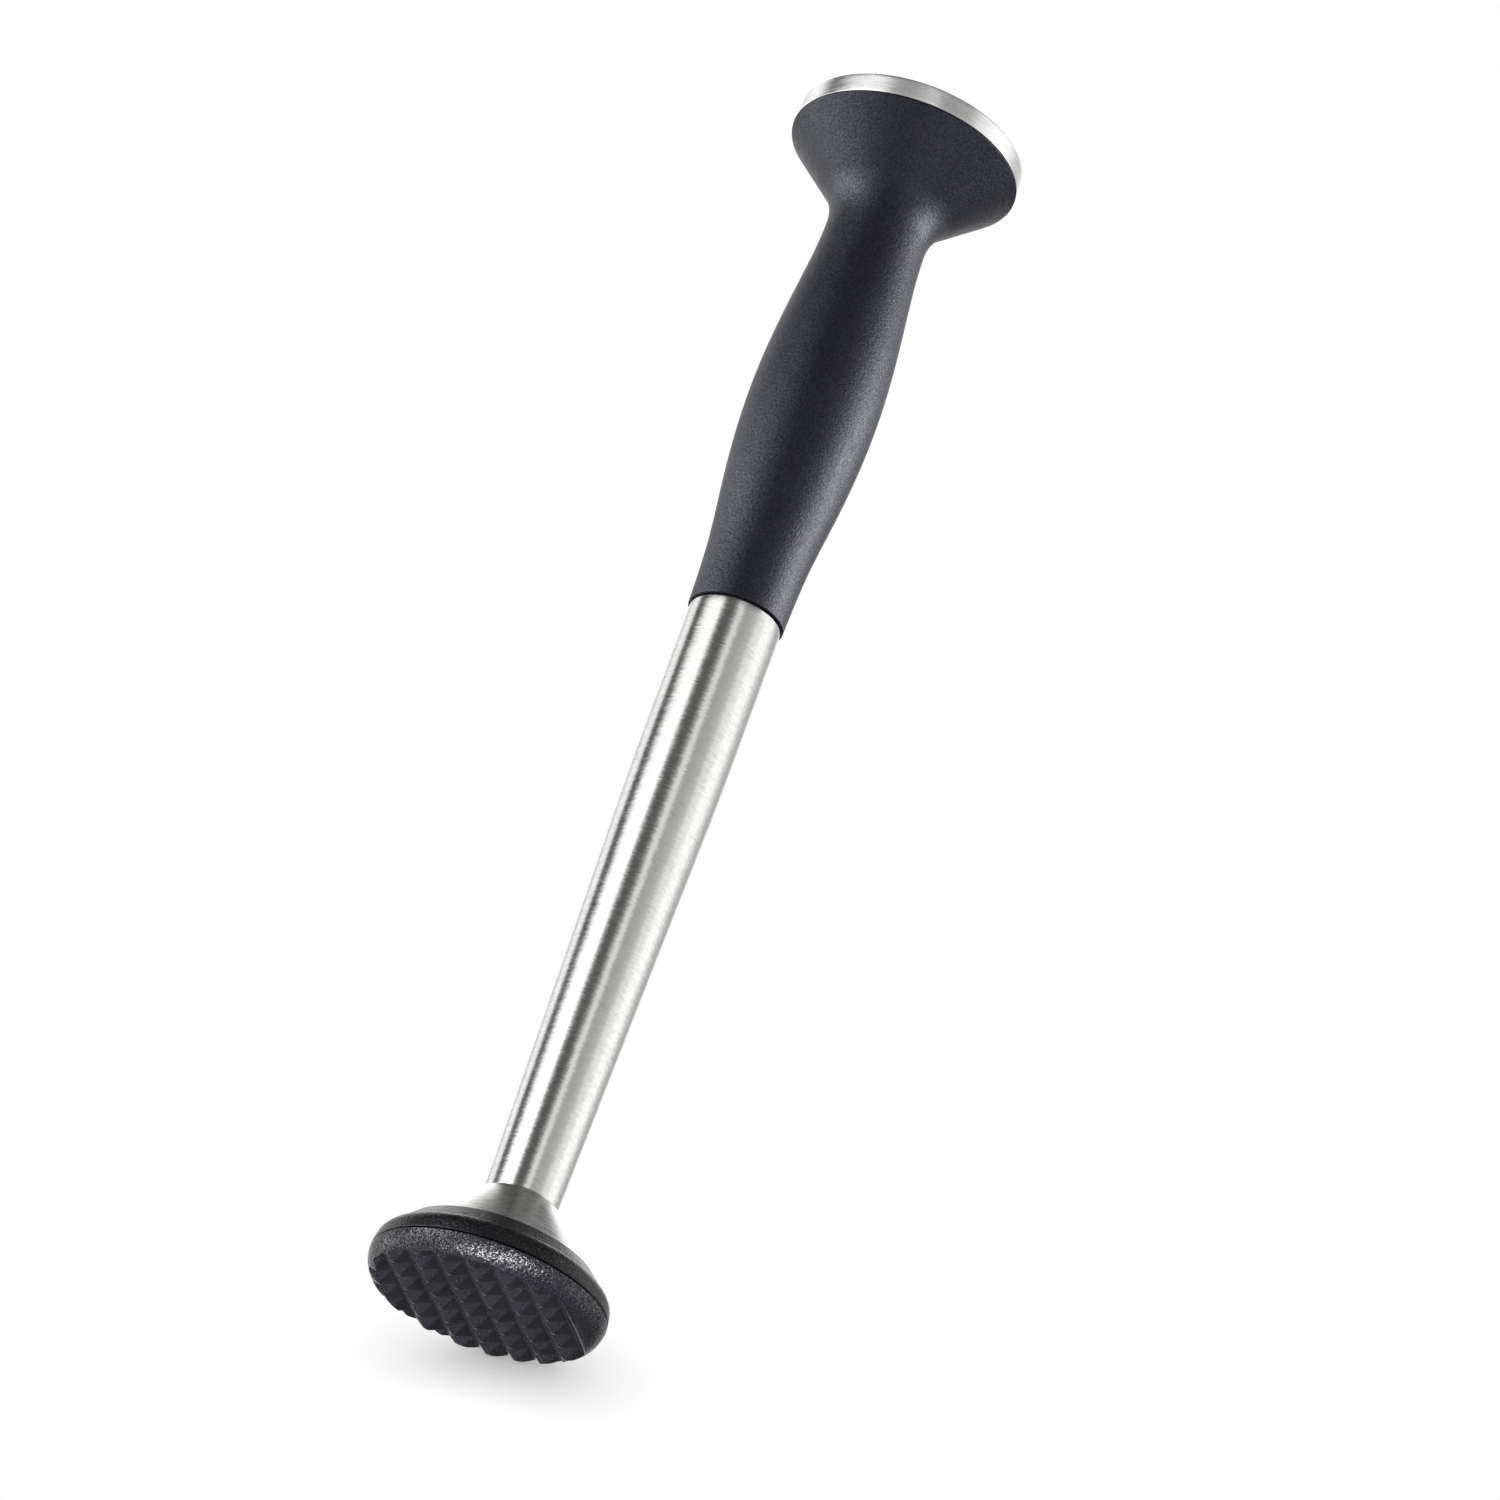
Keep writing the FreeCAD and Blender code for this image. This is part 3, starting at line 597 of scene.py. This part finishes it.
def plated_steel(name):
    """Bright zinc plating of the screws and washers, slightly clouded."""
    material, t = new_material(name)
    place = t.add("ShaderNodeTexCoord").outputs["Object"]
    cloud = t.noise(place, 350.0, 5.0, 0.6)
    pits = t.noise(place, 2400.0, 2.0)
    colour = t.mix(t.span(cloud, 0.3, 0.7), (0.60, 0.61, 0.63, 1), (0.74, 0.74, 0.72, 1))
    normal = t.bump(pits, 0.00002, 0.5)
    shader = t.add("ShaderNodeBsdfPrincipled", {"Base Color": colour, "Metallic": 1.0,
                                                "Roughness": t.span(cloud, 0.3, 0.7, 0.2, 0.34),
                                                "Normal": normal})
    t.finish(shader.outputs[0])
    return material


# ------------------------------------------------------------------ studio
def camera_axes():
    """Place of the camera, and its forward, right and up directions."""
    place = Vector(CAMERA_PLACE) * MM
    forward = (Vector(CAMERA_AIM) * MM - place).normalized()
    right = forward.cross(Vector((0, 0, 1))).normalized()
    up = right.cross(forward)
    roll = math.radians(CAMERA_ROLL)
    tilted_up = up * math.cos(roll) + right * math.sin(roll)
    tilted_right = forward.cross(tilted_up).normalized()
    return place, forward, tilted_right, tilted_up


def level_axes():
    """Level directions towards the camera and to its right."""
    place = camera_axes()[0]
    toward = Vector((place.x, place.y, 0)).normalized()
    return toward, Vector((0, 0, 1)).cross(toward)


def add_camera():
    place, forward, right, up = camera_axes()
    data = bpy.data.cameras.new("photo_camera")
    data.lens = CAMERA_LENS
    data.sensor_width = SENSOR
    data.clip_start = 0.01
    data.clip_end = 20
    camera = bpy.data.objects.new("photo_camera", data)
    rotation = Matrix((right, up, -forward)).transposed().to_4x4()
    camera.matrix_world = Matrix.Translation(place) @ rotation
    bpy.context.scene.collection.objects.link(camera)
    bpy.context.scene.camera = camera


# Brightness of the studio wall seen round the tool, by direction in degrees from the camera
# (0 is the camera's side, +90 its right): soft panels with dark flags between them.
STUDIO_RING = ((-180, 1.25), (-164, 1.15), (-150, 0.62), (-132, 1.10), (-116, 1.05), (-108, 0.16),
               (-96, 0.10), (-88, 0.45), (-80, 0.92), (-68, 1.30), (-44, 1.40), (-38, 0.50),
               (-32, 0.16), (-24, 0.11), (-14, 0.14), (-6, 0.40), (1, 0.95), (9, 0.95), (15, 0.52),
               (22, 0.48), (36, 0.55), (46, 0.64), (56, 0.90), (70, 0.98), (82, 1.25), (100, 1.25),
               (112, 0.90), (126, 0.58), (145, 0.45), (158, 0.80), (168, 1.20), (180, 1.25))

# Zones that are darker than the ring.  "turn" is azimuth from and to, and edge softness;
# "rise" is the elevations between which the zone comes in; all are in degrees.
CEILING = {"rise": (42, 62), "level": 0.20}
HIGH_LEFT = {"turn": (-128, -30, 10), "rise": (30, 38), "level": 0.10}
LOW_RIGHT = {"turn": (116, 172, 8), "rise": (8, -2), "level": 0.12, "ground_level": 0.13}
CENTRE = {"turn": (-30, 58, 6), "lit_band": (8, 35, 6), "level": 0.12}
GROUND = {"rise": (-4, -30), "level": 0.28}

# Soft boxes in the wall: azimuth from and to, elevation from and to, edge softness, added brightness.
WALL_BOXES = ((-84, -44, -40, 24, 7, 0.4),
              (-128, -72, -24, 4, 8, 1.6),
              (-150, -50, -62, -24, 14, 0.45),
              (-45, 60, -80, -48, 14, 0.35),
              (-200, -138, 36, 60, 7, 0.6),
              (138, 200, 34, 52, 7, 0.6))


def add_world():
    """Studio that lights the tool from all round, and looks plain white to the camera."""
    world = bpy.data.worlds.new("studio")
    bpy.context.scene.world = world
    world.use_nodes = True
    t = Tree(world.node_tree)
    toward, across = level_axes()
    way = t.add("ShaderNodeTexCoord").outputs["Generated"]
    facing = t.vector("DOT_PRODUCT", way, tuple(toward))
    sideways = t.vector("DOT_PRODUCT", way, tuple(across))
    lift = t.vector("DOT_PRODUCT", way, (0, 0, 1))
    turn = t.math("MULTIPLY", t.math("ARCTAN2", sideways, facing), 180 / math.pi)
    tilt = t.math("MULTIPLY", t.math("ARCSINE", lift), 180 / math.pi)

    def window(value, low, high, soft):
        rise = t.span(value, low - soft, low + soft, smooth=True)
        fall = t.span(value, high - soft, high + soft, 1.0, 0.0, smooth=True)
        return t.math("MULTIPLY", rise, fall)

    def zone(shape):
        return t.math("MULTIPLY", window(turn, *shape["turn"]), t.span(tilt, *shape["rise"], smooth=True))

    stops = [((azimuth + 180) / 360, level) for azimuth, level in STUDIO_RING]
    ring = t.ramp(t.span(turn, -180, 180), stops, "LINEAR")
    overhead = t.span(tilt, *CEILING["rise"], smooth=True)
    shaped = t.mix(overhead, ring, grey(CEILING["level"]))
    shaped = t.mix(zone(HIGH_LEFT), shaped, grey(HIGH_LEFT["level"]))
    low_right = zone(LOW_RIGHT)
    shaped = t.mix(low_right, shaped, grey(LOW_RIGHT["level"]))
    lit = t.math("MAXIMUM", window(tilt, *CENTRE["lit_band"]), overhead)
    centre = t.math("MULTIPLY", window(turn, *CENTRE["turn"]), t.math("SUBTRACT", 1.0, lit))
    shaped = t.mix(centre, shaped, grey(CENTRE["level"]))
    ground = t.mix(low_right, grey(GROUND["level"]), grey(LOW_RIGHT["ground_level"]))
    total = t.mix(t.span(tilt, *GROUND["rise"], smooth=True), shaped, ground)
    for left, right, low, high, soft, power in WALL_BOXES:
        box = t.math("MULTIPLY", window(turn, left, right, soft), window(tilt, low, high, soft))
        glow = t.math("MULTIPLY", box, power)
        total = t.vector("ADD", total, t.add("ShaderNodeCombineXYZ", {0: glow, 1: glow, 2: glow}).outputs[0])
    seen = t.add("ShaderNodeLightPath").outputs["Is Camera Ray"]
    colour = t.mix(seen, total, grey(1.0))
    background = t.add("ShaderNodeBackground", {"Color": colour, "Strength": 1.0})
    out = t.add("ShaderNodeOutputWorld")
    t.tree.links.new(background.outputs[0], out.inputs["Surface"])


# ------------------------------------------------------------------ floors
FLOOR_R = 0.5
FLOOR_FADE = (0.55, 0.98)   # shares of the radius between which a floor fades out
FLOOR_GAP = 0.0003          # the floor lies this far under the tool
SHADOW_POWER = 1.3          # above 1, the shadow gathers close to the tool
PHOTO_FLOOR_PITCH = 27.0    # how far the camera looks down on the floor of the studio shot
PHOTO_FLOOR_GAP = 0.001
PHOTO_FLOOR_VIEW = (20, 12)     # that floor shows within this many degrees of the camera's view
TOOTH_FIELD_R = 17.0        # outermost tooth tips, in millimetres


def floor_material(name, reach, shade, only_from=None):
    """Pale floor that glows evenly, with a painted soft shadow where the tool is near.

    It fades out towards its rim, is clear from below, and can be limited to one view."""
    material, t = new_material(name)
    place = t.add("ShaderNodeTexCoord").outputs["Object"]
    away = t.vector("LENGTH", place)
    # painted shadow: the glowing floor is dimmed where ambient occlusion finds the tool near
    near = t.add("ShaderNodeAmbientOcclusion", {"Distance": reach}, samples=6).outputs["AO"]
    hidden = t.math("POWER", t.math("SUBTRACT", 1.0, near), SHADOW_POWER)
    level = t.span(hidden, 0.0, 1.0, 1.0, shade)
    colour = t.add("ShaderNodeCombineXYZ", {0: level, 1: level, 2: level}).outputs[0]
    glow = t.add("ShaderNodeEmission", {"Color": colour, "Strength": 1.0}).outputs[0]
    clear = t.add("ShaderNodeBsdfTransparent").outputs[0]
    geometry = t.add("ShaderNodeNewGeometry").outputs
    keep = t.math("SUBTRACT", 1.0, geometry["Backfacing"])
    fade = t.span(away, FLOOR_R * FLOOR_FADE[0], FLOOR_R * FLOOR_FADE[1], 1.0, 0.0, smooth=True)
    keep = t.math("MULTIPLY", keep, fade)
    if only_from:
        facing = t.vector("DOT_PRODUCT", geometry["Incoming"], tuple(only_from))
        outer, inner = [math.cos(math.radians(a)) for a in PHOTO_FLOOR_VIEW]
        inside = t.span(facing, outer, inner, smooth=True)
        keep = t.math("MULTIPLY", keep, inside)
    shader = t.add("ShaderNodeMixShader", {0: keep, 1: clear, 2: glow}).outputs[0]
    t.finish(shader)
    return material


def add_floor(name, centre, normal, material):
    """Round floor, facing along normal, seen only by the camera."""
    rings, spokes = 12, 96
    vertices = [(0, 0, 0)]
    for i in range(1, rings + 1):
        reach = FLOOR_R * i / rings
        for k in range(spokes):
            a = 2 * math.pi * k / spokes
            vertices.append((reach * math.cos(a), reach * math.sin(a), 0))
    faces = [(0, 1 + k, 1 + (k + 1) % spokes) for k in range(spokes)]
    for i in range(rings - 1):
        low, high = 1 + i * spokes, 1 + (i + 1) * spokes
        faces += [(low + k, high + k, high + (k + 1) % spokes, low + (k + 1) % spokes) for k in range(spokes)]
    mesh = bpy.data.meshes.new(name)
    mesh.from_pydata(vertices, [], faces)
    floor = bpy.data.objects.new(name, mesh)
    turned = Vector(normal).to_track_quat("Z", "Y").to_matrix().to_4x4()
    floor.matrix_world = Matrix.Translation(centre) @ turned
    mesh.materials.append(material)
    bpy.context.scene.collection.objects.link(floor)
    for ray in ("visible_diffuse", "visible_glossy", "visible_transmission", "visible_shadow"):
        setattr(floor, ray, False)


def add_floors():
    """The floor that the tool stands on, and the tilted one of the studio shot."""
    add_floor("floor", Vector((0, 0, -FLOOR_GAP)), (0, 0, 1), floor_material("pale_floor", 0.04, 0.45))
    forward, up = camera_axes()[1], camera_axes()[3]
    pitch = math.radians(PHOTO_FLOOR_PITCH)
    normal = (up * math.cos(pitch) - forward * math.sin(pitch)).normalized()
    rim = []
    for degrees in range(0, 360, 2):
        a = math.radians(degrees)
        rim.append(Vector((math.cos(a), math.sin(a), 0)) * TOOTH_FIELD_R * MM)
    nearest = min(rim, key=lambda p: p.dot(normal))
    material = floor_material("photo_floor", 0.012, 0.30, -forward)
    add_floor("floor_for_photo_view", nearest - normal * PHOTO_FLOOR_GAP, normal, material)


# ------------------------------------------------------------------ lights
HEAD, GRIP, CAP = "toothed_head_pad", "soft_grip_sleeve", "steel_end_cap"

# Soft boxes that light one piece each: the height on the axis that it looks at, in millimetres;
# azimuth from the camera's side and elevation, in degrees; distance and size, in metres; watts;
# and its tilt in its own plane, in degrees.
SOFT_BOXES = (("rim_soft_box", HEAD, 2, -3, -29, 0.30, (0.40, 0.085), 2.4, 36),
              ("head_left_soft_box", HEAD, 3, -66, 10, 0.50, (0.26, 0.13), 0.6, 0),
              ("grip_right_soft_box", GRIP, 165, 90, 17, 0.60, (0.34, 0.34), 3.6, 0),
              ("grip_left_soft_box", GRIP, 148, -85, 6, 0.30, (0.31, 0.11), 0.56, 0),
              ("flare_left_soft_box", GRIP, 215, -80, -36, 0.60, (0.36, 0.36), 0.26, 0),
              ("flare_right_soft_box", GRIP, 215, 40, -36, 0.60, (0.38, 0.46), 0.75, 0),
              ("cap_soft_box", CAP, 227, -22, 20, 0.60, (0.36, 0.30), 0.12, 0))


def add_soft_box(name, piece, target_z, azimuth, elevation, distance, size, watts, tilt):
    """Area light that is linked to one piece, so that it lights nothing else."""
    data = bpy.data.lights.new(name, "AREA")
    data.shape = "RECTANGLE"
    data.size, data.size_y = size
    data.energy = watts
    light = bpy.data.objects.new(name, data)
    toward, across = level_axes()
    turn, lift = math.radians(azimuth), math.radians(elevation)
    level = toward * math.cos(turn) + across * math.sin(turn)
    way = level * math.cos(lift) + Vector((0, 0, math.sin(lift)))
    spot = Vector((0, 0, target_z)) * MM + way * distance
    facing = way.to_track_quat("Z", "Y").to_matrix().to_4x4()
    light.matrix_world = Matrix.Translation(spot) @ facing @ Matrix.Rotation(math.radians(tilt), 4, "Z")
    bpy.context.scene.collection.objects.link(light)
    lit = bpy.data.collections.new(name + "_receivers")
    lit.objects.link(bpy.data.objects[piece])
    light.light_linking.receiver_collection = lit


def plain_look():
    view = bpy.context.scene.view_settings
    view.view_transform = "Standard"
    view.look = "None"
    view.exposure = 0.0
    view.gamma = 1.0


# ------------------------------------------------------------------ assembly
steel = brushed_steel("brushed_steel")
steel_flat = brushed_steel("brushed_cap_steel", (0.96, 0.96, 0.95), 0.24, True)
rubber = soft_rubber("grip_rubber")
nylon = pebbled_nylon("pebbled_nylon")
collar_nylon = pebbled_nylon("satin_nylon", (0.0088, 0.0089, 0.0112), 0.00008, 0.28, 0.4)
silicone = hidden_plastic("silicone", (0.045, 0.045, 0.048))
core_plastic = hidden_plastic("core_plastic", (0.06, 0.06, 0.063))
foam = hidden_plastic("bond_foam", (0.16, 0.16, 0.16))
plated = plated_steel("plated_steel")
turned_steel = brushed_steel("turned_plug_steel", (0.62, 0.62, 0.62), 0.28, True)

dress(make_pad(), nylon, "head_nylon", "toothed_pad")
dress(make_collar(), collar_nylon, "collar_nylon", "head_collar")
dress(make_cone(), steel, "cone_steel", "flare_cone")
dress(make_tube(), steel, "tube_steel", "shaft_tube")
dress(make_grip(), rubber, "grip_rubber", "grip_sleeve")
dress(make_cap(), steel_flat, "cap_steel", "steel_cap")

CARRIED = {"cone_gasket": silicone, "handle_oring": silicone, "handle_core": core_plastic,
           "cap_bond_pad": foam, "head_washer": plated, "head_screw": plated,
           "handle_washer": plated, "handle_screw": plated, "lower_plug": turned_steel,
           "upper_plug": turned_steel}
for name, material in CARRIED.items():
    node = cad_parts[name]
    node.data.materials.clear()
    node.data.materials.append(material)

add_world()
for box in SOFT_BOXES:
    add_soft_box(*box)
add_floors()
add_camera()
plain_look()
